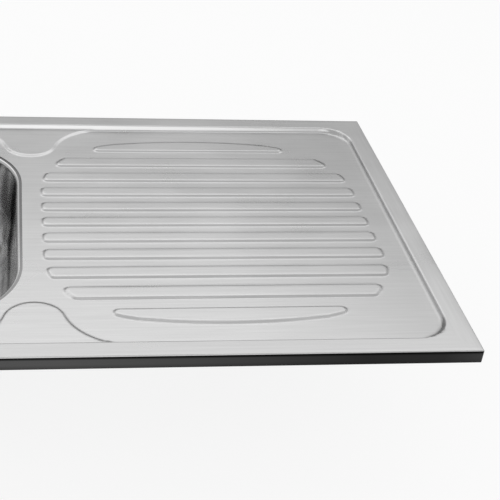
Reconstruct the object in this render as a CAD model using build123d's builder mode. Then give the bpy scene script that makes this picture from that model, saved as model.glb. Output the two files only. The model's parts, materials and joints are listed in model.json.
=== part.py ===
"""Sit-on kitchen sink: one pressed bowl and a ribbed drainboard, with its waste and overflow.

Frame: X runs along the sink, towards the drainboard; Y runs from front to back; Z is up.
The origin is the middle of the sink in plan, on the plane where it sits on the cabinet.
All sizes are in millimetres.
"""

import os
from math import atan2, cos, pi, radians, sin, sqrt, tan

from build123d import *

# --- sheet-metal top -------------------------------------------------------------------
LENGTH = 1000.0
DEPTH = 600.0
SHEET = 0.8
APRON_HEIGHT = 18.0
APRON_BEND = 1.8
APRON_CORNER = 2.5
RETURN_WIDTH = 18.0
RIM_WIDTH = 27.0
RECESS_CORNER = 45.0
RECESS_DROP = 8.0
RECESS_DRAFT = 25.0
DRAINER_RISE = 2.0

# --- half-round landings between bowl and drainer --------------------------------------
LANDING_DROP = 6.0
LANDING_NOSE = 38.0
LANDING_REACH = 85.0
LANDING_FLARE = 80.0
LANDING_DRAFT = 32.0

# --- drainer ribs ----------------------------------------------------------------------
RIB_COUNT = 11
RIB_PITCH_SHARE = 0.0847
RIB_PITCH_GROWTH = 0.0036
RIB_WIDTH_SHARE = 0.611
RIB_WIDTH_GROWTH = 0.0051
RIB_HEIGHT = 2.2
RIB_DRAFT = 48.0
RIB_END_GAP = 35.0
RIB_SIDE_GAP = 41.0
RIB_FIELD_CROWN_SHARE = 0.08
RIB_FIELD_CORNER_SHARE = 0.302
RIB_CORNER = 8.0
OUTER_RIB_CORNER_SHARE = 0.4

# --- bowl ------------------------------------------------------------------------------
BOWL_LENGTH = 380.0
BOWL_MARGIN = 53.0
BOWL_CORNER_SHARE = 0.262
BOWL_DEPTH = 150.0
BOWL_LAP = 9.0
BOWL_LIP = 8.0
BOWL_ROLL = 5.0
BOWL_DRAFT = 5.0
BOWL_FLOOR_RADIUS = 40.0
DISH_DROP = 4.0
DISH_RADIUS = 61.0
DISH_DRAFT = 20.0

# --- waste -----------------------------------------------------------------------------
WASTE_HOLE = 45.5
CUP_FLANGE = 57.0
CUP_SHEET = 1.0
CUP_MOUTH = 43.0
CUP_RADIUS = 40.0
CUP_LEDGE_DROP = 4.0
CUP_SEAT_DROP = 34.0
CUP_SEAT_HEIGHT = 6.0
CUP_SEAT_RADIUS = 30.0
CUP_DEPTH = 44.0
GRATE_RADIUS = 26.0
GRATE_HUB = 10.5
GRATE_ARMS = 6
GRATE_ARM = 4.0
FLANGE_SEAL = 0.8
FLANGE_SEAL_RADIUS = 56.0
WASTE_SEAL = 3.0
BODY_WALL = 2.5
BODY_FLANGE = 58.0
BODY_FLANGE_THICK = 4.0
BODY_CLEARANCE = 2.0
BODY_FLOOR_GAP = 9.0
OUTLET_RADIUS = 23.9
OUTLET_WALL = 3.4
OUTLET_LENGTH = 38.0
BOSS_RADIUS = 8.0
BOSS_LENGTH = 15.0
BOSS_ARMS = 3
BOSS_ARM_THICK = 3.0
CLAMP_SCREW = 3.0
CLAMP_HEAD = 6.5
CLAMP_HEAD_HEIGHT = 3.0

# --- basket and stopper ----------------------------------------------------------------
BASKET_SHEET = 0.8
BASKET_SEAT_GAP = 0.05
BASKET_RIM_GAP = 0.5
BASKET_WALL_GAP = 0.8
BASKET_DEPTH = 22.0
BASKET_FLOOR_RADIUS = 33.0
BASKET_SLOT = 3.0
BASKET_FLOOR_SLOTS = 10
BASKET_FLOOR_SLOT_LENGTH = 18.0
BASKET_WALL_SLOTS = 12
STEM_RADIUS = 3.7
STEM_GAP = 0.1
STOPPER_THICK = 3.0
STOPPER_LIFT = 1.2
STOPPER_GAP = 0.2
KNOB_RADIUS = 11.0
KNOB_HEIGHT = 7.0
KNOB_RISE = 9.0
KNOB_GRIP = 1.6

# --- overflow --------------------------------------------------------------------------
OVERFLOW_DROP = 46.0
OVERFLOW_HOLE = 15.0
ROSE_RADIUS = 29.0
ROSE_DOME = 5.0
ROSE_SHEET = 1.0
ROSE_SLOTS = 6
ROSE_SLOT_LENGTH = 12.0
ROSE_SLOT_WIDTH = 5.0
ROSE_SCREW = 2.5
ROSE_SCREW_HEAD = 5.0
ROSE_SCREW_HEAD_HEIGHT = 2.2
OVERFLOW_SEAL = 2.0
OVERFLOW_FLANGE = 25.0
OVERFLOW_FLANGE_THICK = 3.0
OVERFLOW_CUP = 20.0
OVERFLOW_CUP_DEPTH = 34.0
OVERFLOW_CUP_WALL = 2.5
PIPE_AXIS_DEPTH = 20.0
PIPE_RADIUS = 10.0
PIPE_WALL = 1.8
PIPE_BEND = 45.0
PIPE_ENTRY = 12.0
SOCKET_WALL = 2.7
SOCKET_GAP = 0.3
OVERFLOW_SOCKET = 36.0
INLET_REACH = 78.0
INLET_DROP = 28.0
NUT_WALL = 3.6
NUT_LENGTH = 16.0
NUT_END = 2.4
NUT_SIDES = 8
NUT_GAP = 0.1
PIPE_SEAL = 3.0

# --- underside -------------------------------------------------------------------------
STIFFENER_PLACES = (0.30, 0.72)
STIFFENER_FOOT = 12.0
STIFFENER_CROWN = 24.0
STIFFENER_HEIGHT = 13.0
STIFFENER_SHEET = 1.0
STIFFENER_LENGTH_SHARE = 0.78
PAD_THICK = 2.5
PAD_CORNER = 30.0
PAD_HOLE_GAP = 4.0
PAD_GAP = 8.0
DRAINER_PAD_DEPTH_SHARE = 0.5
PLATE_SHEET = 1.5
PLATE_INSET = 3.0
PLATE_SIDE = 75.0
PLATE_CORNER = 4.0
PLATE_HOLE = 2.75
PLATE_HOLE_INSET = 22.0

# --- levels and places worked out from the sizes above ---------------------------------
RIM_TOP = APRON_HEIGHT
FLOOR_TOP = RIM_TOP - RECESS_DROP
LANDING_TOP = RIM_TOP - LANDING_DROP
RECESS_LENGTH = LENGTH - 2 * RIM_WIDTH
RECESS_DEPTH = DEPTH - 2 * RIM_WIDTH
RECESS_RUN = RECESS_DROP * tan(radians(RECESS_DRAFT))
BOWL_WIDTH = RECESS_DEPTH - 2 * BOWL_MARGIN
BOWL_CORNER = round(BOWL_CORNER_SHARE * BOWL_WIDTH)
BOWL_X = -RECESS_LENGTH / 2 + BOWL_MARGIN + BOWL_LENGTH / 2
BOWL_RIGHT = BOWL_X + BOWL_LENGTH / 2
LANDING_X = BOWL_RIGHT + RIB_END_GAP * 0.37
RIB_FIELD_LEFT = BOWL_RIGHT + RIB_END_GAP * 0.74
RIB_FIELD_RIGHT = RECESS_LENGTH / 2 - RIB_END_GAP
RIB_FIELD_LENGTH = RIB_FIELD_RIGHT - RIB_FIELD_LEFT
RIB_FIELD_DEPTH = RECESS_DEPTH - 2 * RIB_SIDE_GAP
RIB_FIELD_CROWN = RIB_FIELD_CROWN_SHARE * RIB_FIELD_DEPTH
RIB_FIELD_CORNER = RIB_FIELD_CORNER_SHARE * RIB_FIELD_DEPTH
RIB_PITCH = RIB_PITCH_SHARE * RIB_FIELD_DEPTH
DRAINER_SLOPE = atan2(DRAINER_RISE, RECESS_LENGTH / 2 - RIB_FIELD_LEFT)

BOWL_TOP = FLOOR_TOP - SHEET
BOWL_FLOOR = FLOOR_TOP - BOWL_DEPTH
DISH_TOP = BOWL_FLOOR - DISH_DROP
CUP_TOP = DISH_TOP + FLANGE_SEAL + CUP_SHEET
LEDGE_TOP = CUP_TOP - CUP_LEDGE_DROP
CUP_SEAT_TOP = CUP_TOP - CUP_SEAT_DROP
CUP_SEAT_FOOT = CUP_SEAT_TOP - CUP_SEAT_HEIGHT
CUP_FLOOR = CUP_TOP - CUP_DEPTH
BODY_TOP = DISH_TOP - SHEET - WASTE_SEAL
BODY_RADIUS = CUP_RADIUS + CUP_SHEET + BODY_CLEARANCE
BODY_FLOOR = CUP_FLOOR - CUP_SHEET - BODY_FLOOR_GAP
OUTLET_END = BODY_FLOOR - BODY_WALL - OUTLET_LENGTH
BASKET_RIM = LEDGE_TOP + BASKET_SEAT_GAP
BASKET_FLOOR = BASKET_RIM - BASKET_DEPTH
STOPPER_FOOT = CUP_SEAT_FOOT + STOPPER_LIFT
KNOB_FOOT = BASKET_FLOOR + BASKET_SHEET + KNOB_RISE
SOCKET_RADIUS = PIPE_RADIUS + SOCKET_GAP
SOCKET_OUTER = SOCKET_RADIUS + SOCKET_WALL
INLET_Z = DISH_TOP - INLET_DROP
OVERFLOW_Z = FLOOR_TOP - OVERFLOW_DROP
OVERFLOW_Y = BOWL_WIDTH / 2 - BOWL_LIP - (BOWL_TOP - OVERFLOW_Z) * tan(radians(BOWL_DRAFT))
PIPE_Y = OVERFLOW_Y + PIPE_AXIS_DEPTH * cos(radians(BOWL_DRAFT))
OVERFLOW_SOCKET_END = OVERFLOW_Z - OVERFLOW_SOCKET
CUT = 5.0  # how far a cutting shape runs past what it cuts
ROOT = 0.6  # how deep a raised shape is rooted in the floor below it


def drawn_in(drop, draft):
    """How far a drafted wall moves sideways when the sheet's lower side lies drop below it."""
    return drop * (1 - sin(radians(draft))) / cos(radians(draft))


def drainer_plane(drop=0.0):
    """The drainer's sloping floor, lowered by drop; its local X runs up the slope."""
    return Plane(
        origin=(RIB_FIELD_LEFT, 0, FLOOR_TOP - drop),
        x_dir=(cos(DRAINER_SLOPE), 0, sin(DRAINER_SLOPE)),
        z_dir=(-sin(DRAINER_SLOPE), 0, cos(DRAINER_SLOPE)),
    )


def landing_outline(side):
    """One landing's outline at floor level: a round nose that flares into the recess wall.
    side is 1 at the back and -1 at the front."""
    wall = DEPTH / 2 - RIM_WIDTH - RECESS_RUN
    nose_y = wall - (LANDING_REACH - LANDING_NOSE)
    flare_y = wall - LANDING_FLARE
    flare_x = sqrt((LANDING_NOSE + LANDING_FLARE) ** 2 - (flare_y - nose_y) ** 2)
    share = LANDING_NOSE / (LANDING_NOSE + LANDING_FLARE)
    join = (flare_x * share, nose_y + (flare_y - nose_y) * share)
    buried = wall + RECESS_RUN + RIM_WIDTH / 2
    with BuildSketch() as outline:
        with BuildLine():
            ThreePointArc((-join[0], join[1]), (0, nose_y - LANDING_NOSE), join)
            RadiusArc(join, (flare_x, wall), LANDING_FLARE)
            Polyline((flare_x, wall), (flare_x, buried), (-flare_x, buried), (-flare_x, wall))
            RadiusArc((-flare_x, wall), (-join[0], join[1]), LANDING_FLARE)
        make_face()
    face = outline.face()
    if side < 0:
        face = face.rotate(Axis.Z, 180)
    return face.translate((LANDING_X, 0, 0))


def crown_radius():
    """Radius of the long sides of the oval that the ribs end on."""
    half_x = RIB_FIELD_LENGTH / 2
    return (half_x**2 + RIB_FIELD_CROWN**2) / (2 * RIB_FIELD_CROWN)


def oval_corner():
    """Centre of the oval's corner arc, and the point where that arc meets the crowned side."""
    radius = crown_radius()
    centre_x = RIB_FIELD_LENGTH / 2 - RIB_FIELD_CORNER
    crown_y = RIB_FIELD_DEPTH / 2 - radius
    reach = radius - RIB_FIELD_CORNER
    centre_y = crown_y + sqrt(reach**2 - centre_x**2)
    join_x = centre_x * radius / reach
    join_y = crown_y + (centre_y - crown_y) * radius / reach
    return centre_x, centre_y, join_x, join_y


def oval_half_length(y):
    """Half the oval's length at distance y from its middle."""
    centre_x, centre_y, join_x, join_y = oval_corner()
    if y <= centre_y:
        return RIB_FIELD_LENGTH / 2
    if y <= join_y:
        return centre_x + sqrt(RIB_FIELD_CORNER**2 - (y - centre_y) ** 2)
    radius = crown_radius()
    return sqrt(radius**2 - (y - RIB_FIELD_DEPTH / 2 + radius) ** 2)


def inner_rib(low, high):
    """A rib between two straight sides, its ends slanting where they follow the oval."""
    low_half = oval_half_length(abs(low))
    high_half = oval_half_length(abs(high))
    with BuildSketch() as rib:
        with BuildLine():
            Polyline((-low_half, low), (low_half, low), (high_half, high), (-high_half, high), close=True)
        make_face()
        fillet(rib.vertices(), radius=RIB_CORNER)
    return rib.face()


def outer_rib(low):
    """The last rib at the back: straight on the inside, the oval itself on the outside.
    Its corners are no rounder than the rib is wide at the oval's shoulder."""
    centre_x, centre_y, join_x, join_y = oval_corner()
    low_half = oval_half_length(low)
    middle_y = (low + join_y) / 2
    middle_x = oval_half_length(middle_y)
    corner = min(RIB_CORNER, OUTER_RIB_CORNER_SHARE * (join_y - low))
    with BuildSketch() as rib:
        with BuildLine():
            Line((-low_half, low), (low_half, low))
            ThreePointArc((low_half, low), (middle_x, middle_y), (join_x, join_y))
            ThreePointArc((join_x, join_y), (0, RIB_FIELD_DEPTH / 2), (-join_x, join_y))
            ThreePointArc((-join_x, join_y), (-middle_x, middle_y), (-low_half, low))
        make_face()
        fillet(rib.vertices().sort_by(Axis.Y)[:2], radius=corner)
    return rib.face()


def rib_faces():
    """The outline of each rib, in the drainer plane. Ribs widen and spread away from the middle."""
    last = (RIB_COUNT - 1) // 2
    faces = []
    for step in range(-last, last + 1):
        y = RIB_PITCH * (step + RIB_PITCH_GROWTH * step**3)
        width = RIB_PITCH * (RIB_WIDTH_SHARE + RIB_WIDTH_GROWTH * step**2)
        if abs(step) < last:
            face = inner_rib(y - width / 2, y + width / 2)
        else:
            face = outer_rib(abs(y) - width / 2)
        if step == -last:
            face = face.rotate(Axis.Z, 180)
        faces.append(face.translate((RIB_FIELD_LENGTH / 2, 0, 0)))
    return faces


def pressed_form(drop):
    """A solid block with the top's pressed shape, lowered by drop and drawn in to match.
    The sheet is what lies between two such forms."""
    recess_growth = 2 * drawn_in(drop, RECESS_DRAFT)
    landings = [landing_outline(side) for side in (1, -1)]
    ribs = rib_faces()
    with BuildPart() as form:
        with BuildSketch():
            RectangleRounded(LENGTH - 2 * drop, DEPTH - 2 * drop, APRON_CORNER - drop)
        extrude(amount=RIM_TOP - drop)
        fillet(form.faces().sort_by(Axis.Z)[-1].edges(), radius=APRON_BEND - drop)
        with BuildSketch(Plane.XY.offset(RIM_TOP - drop)):
            RectangleRounded(
                RECESS_LENGTH + recess_growth, RECESS_DEPTH + recess_growth, RECESS_CORNER + recess_growth / 2
            )
        extrude(amount=-RECESS_DROP, taper=RECESS_DRAFT, mode=Mode.SUBTRACT)
        with BuildSketch(Plane.XZ.offset(-RECESS_DEPTH / 2)):
            with BuildLine():
                Polyline(
                    (RIB_FIELD_LEFT, FLOOR_TOP - drop),
                    (RECESS_LENGTH / 2, FLOOR_TOP - drop + DRAINER_RISE),
                    (RECESS_LENGTH / 2, FLOOR_TOP - drop - SHEET),
                    (RIB_FIELD_LEFT, FLOOR_TOP - drop - SHEET),
                    close=True,
                )
            make_face()
        extrude(amount=RECESS_DEPTH)
        for landing in landings:
            with BuildSketch(Plane.XY.offset(FLOOR_TOP - drop - ROOT)):
                add(landing)
                offset(amount=ROOT * tan(radians(LANDING_DRAFT)) - drawn_in(drop, LANDING_DRAFT))
            extrude(amount=ROOT + LANDING_TOP - FLOOR_TOP, taper=LANDING_DRAFT)
        for rib in ribs:
            with BuildSketch(drainer_plane(drop + ROOT)):
                add(rib)
                offset(amount=ROOT * tan(radians(RIB_DRAFT)) - drawn_in(drop, RIB_DRAFT))
            extrude(amount=ROOT + RIB_HEIGHT, taper=RIB_DRAFT)
    return form.part


def bowl_outline(inset):
    """The bowl's plan outline, drawn in by inset."""
    with BuildSketch() as outline:
        RectangleRounded(BOWL_LENGTH - 2 * inset, BOWL_WIDTH - 2 * inset, BOWL_CORNER - inset)
    return outline.face().translate((BOWL_X, 0, 0))


def bowl_block(inset, floor):
    """A solid block in the bowl's shape, from its flange down to floor, with its foot rounded."""
    with BuildPart() as block:
        with BuildSketch(Plane.XY.offset(BOWL_TOP)):
            RectangleRounded(BOWL_LENGTH - 2 * inset, BOWL_WIDTH - 2 * inset, BOWL_CORNER - inset)
        extrude(amount=floor - BOWL_TOP, taper=BOWL_DRAFT)
        fillet(block.faces().sort_by(Axis.Z)[0].edges(), radius=BOWL_FLOOR_RADIUS + BOWL_FLOOR - floor)
    return block.part.translate((BOWL_X, 0, 0))


def overflow_plane(depth=0.0):
    """The plane of the bowl's back wall at the overflow, depth further out; Z points into the bowl."""
    draft = radians(BOWL_DRAFT)
    origin = (BOWL_X, OVERFLOW_Y + depth * cos(draft), OVERFLOW_Z - depth * sin(draft))
    return Plane(origin=origin, x_dir=(1, 0, 0), z_dir=(0, -cos(draft), sin(draft)))


def turned(points):
    """A solid of revolution about the waste's axis, from (radius, z) points."""
    with BuildPart() as body:
        with BuildSketch(Plane.XZ):
            with BuildLine():
                Polyline(*points, close=True)
            make_face()
        revolve(axis=Axis.Z)
    return body.part.translate((BOWL_X, 0, 0))


def ring(plane, outer, inner, thickness):
    """A flat ring on a plane, built up along the plane's Z."""
    with BuildPart() as body:
        with BuildSketch(plane):
            Circle(outer)
            Circle(inner, mode=Mode.SUBTRACT)
        extrude(amount=thickness)
    return body.part


def pipe_nut(plane):
    """A union nut. The plane lies on the socket's mouth, with Z pointing out of the socket."""
    foot = PIPE_SEAL + NUT_END - NUT_LENGTH
    with BuildPart() as nut:
        with BuildSketch(plane.offset(foot)):
            RegularPolygon(SOCKET_OUTER + NUT_WALL, NUT_SIDES, major_radius=False)
        extrude(amount=NUT_LENGTH)
        with BuildSketch(plane.offset(foot)):
            Circle(SOCKET_OUTER + NUT_GAP)
        extrude(amount=PIPE_SEAL - foot, mode=Mode.SUBTRACT)
        with BuildSketch(plane.offset(PIPE_SEAL)):
            Circle(SOCKET_RADIUS)
        extrude(amount=NUT_END, mode=Mode.SUBTRACT)
    return nut.part


# The drainer top: one pressed sheet, folded down all round and turned in at the foot of the apron.
upper_form = pressed_form(0)
lower_form = pressed_form(SHEET)
opening = bowl_outline(0)
with BuildPart() as sink_top:
    add(upper_form)
    add(lower_form, mode=Mode.SUBTRACT)
    with BuildSketch():
        RectangleRounded(LENGTH, DEPTH, APRON_CORNER)
        Rectangle(LENGTH - 2 * RETURN_WIDTH, DEPTH - 2 * RETURN_WIDTH, mode=Mode.SUBTRACT)
    extrude(amount=SHEET)
    with BuildSketch(Plane.XY.offset(-CUT)):
        add(opening)
    extrude(amount=RIM_TOP + 2 * CUT, mode=Mode.SUBTRACT)

# The bowl: a deep-drawn shell whose flange is welded under the edge of the top's opening.
flange_outline = bowl_outline(-BOWL_LAP)
shell_block = bowl_block(BOWL_LIP - SHEET, BOWL_FLOOR - SHEET)
cavity_block = bowl_block(BOWL_LIP, BOWL_FLOOR)
with BuildPart() as bowl:
    add(shell_block)
    with BuildSketch(Plane.XY.offset(BOWL_TOP)):
        add(flange_outline)
    extrude(amount=-SHEET)
    flange_under = bowl.faces().filter_by(Plane.XY).sort_by(Axis.Z)[-2]
    fillet(flange_under.inner_wires()[0].edges(), radius=BOWL_ROLL - SHEET)
    add(cavity_block, mode=Mode.SUBTRACT)
    flange_face = bowl.faces().sort_by(Axis.Z)[-1]
    fillet(flange_face.inner_wires()[0].edges(), radius=BOWL_ROLL)
    with BuildSketch(Plane.XY.offset(BOWL_FLOOR - SHEET)):
        with Locations((BOWL_X, 0)):
            Circle(DISH_RADIUS + SHEET)
    extrude(amount=-DISH_DROP, taper=DISH_DRAFT)
    with BuildSketch(Plane.XY.offset(BOWL_FLOOR)):
        with Locations((BOWL_X, 0)):
            Circle(DISH_RADIUS)
    extrude(amount=-DISH_DROP, taper=DISH_DRAFT, mode=Mode.SUBTRACT)
    with BuildSketch(Plane.XY.offset(DISH_TOP)):
        with Locations((BOWL_X, 0)):
            Circle(WASTE_HOLE)
    extrude(amount=-SHEET, mode=Mode.SUBTRACT)
    with BuildSketch(overflow_plane(CUT)):
        Circle(OVERFLOW_HOLE)
    extrude(amount=2 * CUT, mode=Mode.SUBTRACT)

# Sound-damping pads, glued under the bowl's floor and under the drainer between the channels.
with BuildPart() as bowl_pad:
    with BuildSketch(Plane.XY.offset(BOWL_FLOOR - SHEET)):
        with Locations((BOWL_X, 0)):
            pad_inset = BOWL_LIP + BOWL_DEPTH * tan(radians(BOWL_DRAFT)) + BOWL_FLOOR_RADIUS
            RectangleRounded(BOWL_LENGTH - 2 * pad_inset, BOWL_WIDTH - 2 * pad_inset, PAD_CORNER)
            Circle(DISH_RADIUS + PAD_HOLE_GAP, mode=Mode.SUBTRACT)
    extrude(amount=-PAD_THICK)

channel_half = STIFFENER_CROWN / 2 + STIFFENER_FOOT
channel_x = [share * RIB_FIELD_LENGTH for share in STIFFENER_PLACES]
with BuildPart() as drainer_pad:
    with BuildSketch(drainer_plane(SHEET)):
        with Locations(((channel_x[0] + channel_x[1]) / 2, 0)):
            Rectangle(
                channel_x[1] - channel_x[0] - 2 * channel_half - 2 * PAD_GAP,
                DRAINER_PAD_DEPTH_SHARE * RECESS_DEPTH,
            )
    extrude(amount=-PAD_THICK)

# Two hat-section channels, spot-welded across the underside of the drainer.
channel_depth = STIFFENER_LENGTH_SHARE * RECESS_DEPTH
with BuildPart() as drainer_stiffeners:
    for x in channel_x:
        with BuildSketch(drainer_plane(SHEET)):
            with Locations((x, 0)):
                Rectangle(2 * channel_half, channel_depth)
        extrude(amount=-STIFFENER_SHEET)
        with BuildSketch(drainer_plane(SHEET)):
            with Locations((x, 0)):
                Rectangle(STIFFENER_CROWN, channel_depth)
        extrude(amount=-STIFFENER_HEIGHT)
        with BuildSketch(drainer_plane(SHEET)):
            with Locations((x, 0)):
                Rectangle(STIFFENER_CROWN - 2 * STIFFENER_SHEET, channel_depth)
        extrude(amount=-STIFFENER_HEIGHT + STIFFENER_SHEET, mode=Mode.SUBTRACT)

# Four corner plates, lying on the apron's return, with a hole each for screwing the sink down.
with BuildPart() as corner_plates:
    for x_side in (1, -1):
        for y_side in (1, -1):
            corner_x = x_side * (LENGTH / 2 - PLATE_INSET)
            corner_y = y_side * (DEPTH / 2 - PLATE_INSET)
            with BuildSketch(Plane.XY.offset(SHEET)) as plate:
                with BuildLine():
                    Polyline(
                        (corner_x, corner_y),
                        (corner_x - x_side * PLATE_SIDE, corner_y),
                        (corner_x, corner_y - y_side * PLATE_SIDE),
                        close=True,
                    )
                make_face()
                chamfer(plate.vertices(), length=PLATE_CORNER)
                with Locations((corner_x - x_side * PLATE_HOLE_INSET, corner_y - y_side * PLATE_HOLE_INSET)):
                    Circle(PLATE_HOLE, mode=Mode.SUBTRACT)
            extrude(amount=PLATE_SHEET)

# The strainer cup: flange, ledge for the basket, conical seat for the stopper, and a floor grate.
cup_wall = CUP_RADIUS + CUP_SHEET
cup_foot = CUP_SEAT_RADIUS + CUP_SHEET
cup_blank = turned(
    [
        (CUP_FLANGE, CUP_TOP - CUP_SHEET),
        (CUP_FLANGE, CUP_TOP),
        (CUP_MOUTH, CUP_TOP),
        (CUP_MOUTH, LEDGE_TOP),
        (CUP_RADIUS, LEDGE_TOP),
        (CUP_RADIUS, CUP_SEAT_TOP),
        (CUP_SEAT_RADIUS, CUP_SEAT_FOOT),
        (CUP_SEAT_RADIUS, CUP_FLOOR),
        (0, CUP_FLOOR),
        (0, CUP_FLOOR - CUP_SHEET),
        (cup_foot, CUP_FLOOR - CUP_SHEET),
        (cup_foot, CUP_SEAT_FOOT - CUP_SHEET / 2),
        (cup_wall, CUP_SEAT_TOP - CUP_SHEET / 2),
        (cup_wall, LEDGE_TOP - CUP_SHEET),
        (CUP_MOUTH + CUP_SHEET, LEDGE_TOP - CUP_SHEET),
        (CUP_MOUTH + CUP_SHEET, CUP_TOP - CUP_SHEET),
    ]
)
with BuildPart() as strainer_cup:
    add(cup_blank)
    with BuildSketch(Plane.XY.offset(CUP_FLOOR)):
        with Locations((BOWL_X, 0)):
            Circle(GRATE_RADIUS)
            with PolarLocations(GRATE_RADIUS / 2, GRATE_ARMS):
                Rectangle(GRATE_RADIUS + CUT, GRATE_ARM, mode=Mode.SUBTRACT)
            Circle(GRATE_HUB, mode=Mode.SUBTRACT)
            Circle(CLAMP_SCREW)
    extrude(amount=-CUP_SHEET, mode=Mode.SUBTRACT)

waste_axis = Location((BOWL_X, 0, 0))
flange_seal_part = ring(Plane.XY.offset(DISH_TOP), FLANGE_SEAL_RADIUS, WASTE_HOLE, FLANGE_SEAL)
with BuildPart() as flange_seal:
    with Locations(waste_axis):
        add(flange_seal_part)

waste_seal_part = ring(Plane.XY.offset(BODY_TOP), BODY_FLANGE - 1, WASTE_HOLE, WASTE_SEAL)
with BuildPart() as waste_seal:
    with Locations(waste_axis):
        add(waste_seal_part)

# The waste body: a moulded cup with a threaded tail, a screw boss and the overflow's side inlet.
body_outer = BODY_RADIUS + BODY_WALL
outlet_inner = OUTLET_RADIUS - OUTLET_WALL
body_blank = turned(
    [
        (BODY_RADIUS, BODY_TOP),
        (BODY_FLANGE, BODY_TOP),
        (BODY_FLANGE, BODY_TOP - BODY_FLANGE_THICK),
        (body_outer, BODY_TOP - BODY_FLANGE_THICK),
        (body_outer, BODY_FLOOR - BODY_WALL),
        (OUTLET_RADIUS, BODY_FLOOR - BODY_WALL),
        (OUTLET_RADIUS, OUTLET_END),
        (outlet_inner, OUTLET_END),
        (outlet_inner, BODY_FLOOR),
        (BODY_RADIUS, BODY_FLOOR),
    ]
)
boss_top = CUP_FLOOR - CUP_SHEET
with BuildPart() as waste_body:
    add(body_blank)
    with BuildSketch(Plane.XZ.offset(-BODY_RADIUS)):
        with Locations((BOWL_X, INLET_Z)):
            Circle(SOCKET_OUTER)
    extrude(amount=BODY_RADIUS - INLET_REACH)
    with BuildSketch(Plane.XZ.offset(-INLET_REACH - CUT)):
        with Locations((BOWL_X, INLET_Z)):
            Circle(SOCKET_RADIUS)
    extrude(amount=INLET_REACH + CUT - CUP_RADIUS, mode=Mode.SUBTRACT)
    with BuildSketch(Plane.XY.offset(BODY_FLOOR)):
        with Locations((BOWL_X, 0)):
            with PolarLocations(outlet_inner / 2, BOSS_ARMS, start_angle=90):
                Rectangle(outlet_inner + BODY_WALL, BOSS_ARM_THICK)
    extrude(amount=boss_top - BOSS_LENGTH - BODY_FLOOR)
    with BuildSketch(Plane.XY.offset(boss_top)):
        with Locations((BOWL_X, 0)):
            Circle(BOSS_RADIUS)
    extrude(amount=-BOSS_LENGTH)
    with BuildSketch(Plane.XY.offset(boss_top)):
        with Locations((BOWL_X, 0)):
            Circle(CLAMP_SCREW)
    extrude(amount=-BOSS_LENGTH, mode=Mode.SUBTRACT)

with BuildPart() as clamp_screw:
    with BuildSketch(Plane.XY.offset(CUP_FLOOR)):
        with Locations((BOWL_X, 0)):
            Circle(CLAMP_HEAD)
    extrude(amount=CLAMP_HEAD_HEIGHT)
    chamfer(clamp_screw.faces().sort_by(Axis.Z)[-1].edges(), length=CLAMP_HEAD_HEIGHT / 3)
    with BuildSketch(Plane.XY.offset(CUP_FLOOR)):
        with Locations((BOWL_X, 0)):
            Circle(CLAMP_SCREW)
    extrude(amount=-CUP_SHEET - BOSS_LENGTH)

# The lift-out basket, slotted in its floor and its sloping wall.
rim_radius = CUP_MOUTH - BASKET_RIM_GAP
basket_wall = CUP_RADIUS - BASKET_WALL_GAP
basket_blank = turned(
    [
        (rim_radius, BASKET_RIM),
        (rim_radius, BASKET_RIM + BASKET_SHEET),
        (basket_wall - BASKET_SHEET, BASKET_RIM + BASKET_SHEET),
        (BASKET_FLOOR_RADIUS, BASKET_FLOOR + BASKET_SHEET),
        (0, BASKET_FLOOR + BASKET_SHEET),
        (0, BASKET_FLOOR),
        (BASKET_FLOOR_RADIUS + BASKET_SHEET, BASKET_FLOOR),
        (basket_wall, BASKET_RIM),
    ]
)
with BuildPart() as strainer_basket:
    add(basket_blank)
    with BuildSketch(Plane.XY.offset(BASKET_FLOOR)):
        with Locations((BOWL_X, 0)):
            Circle(STEM_RADIUS + STEM_GAP)
            with PolarLocations((STEM_RADIUS + BASKET_FLOOR_RADIUS) / 2, BASKET_FLOOR_SLOTS):
                Rectangle(BASKET_FLOOR_SLOT_LENGTH, BASKET_SLOT)
    extrude(amount=BASKET_SHEET, mode=Mode.SUBTRACT)
    with Locations((BOWL_X, 0, BASKET_FLOOR + BASKET_DEPTH / 2)):
        with PolarLocations(CUP_RADIUS, BASKET_WALL_SLOTS):
            Box(CUP_RADIUS, BASKET_SLOT, BASKET_DEPTH / 3, mode=Mode.SUBTRACT)

with BuildPart() as basket_stem:
    with BuildSketch(Plane.XY.offset(STOPPER_FOOT)):
        with Locations((BOWL_X, 0)):
            Circle(STEM_RADIUS)
    extrude(amount=KNOB_FOOT - STOPPER_FOOT)

# The stopper's rubber disc follows the slope of the cup's seat.
seat_slope = (CUP_RADIUS - CUP_SEAT_RADIUS) / CUP_SEAT_HEIGHT
stopper_low = CUP_SEAT_RADIUS + STOPPER_LIFT * seat_slope - STOPPER_GAP
stopper_high = stopper_low + STOPPER_THICK * seat_slope
stopper_blank = turned(
    [
        (STEM_RADIUS, STOPPER_FOOT),
        (stopper_low, STOPPER_FOOT),
        (stopper_high, STOPPER_FOOT + STOPPER_THICK),
        (STEM_RADIUS, STOPPER_FOOT + STOPPER_THICK),
    ]
)
with BuildPart() as stopper_seal:
    add(stopper_blank)

knob_blank = turned(
    [
        (0, KNOB_FOOT),
        (KNOB_RADIUS * 0.6, KNOB_FOOT),
        (KNOB_RADIUS * 0.6, KNOB_FOOT + KNOB_HEIGHT * 0.35),
        (KNOB_RADIUS, KNOB_FOOT + KNOB_HEIGHT * 0.55),
        (KNOB_RADIUS, KNOB_FOOT + KNOB_HEIGHT * 0.85),
        (KNOB_RADIUS * 0.86, KNOB_FOOT + KNOB_HEIGHT),
        (0, KNOB_FOOT + KNOB_HEIGHT),
    ]
)
with BuildPart() as lift_knob:
    add(knob_blank)

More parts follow.
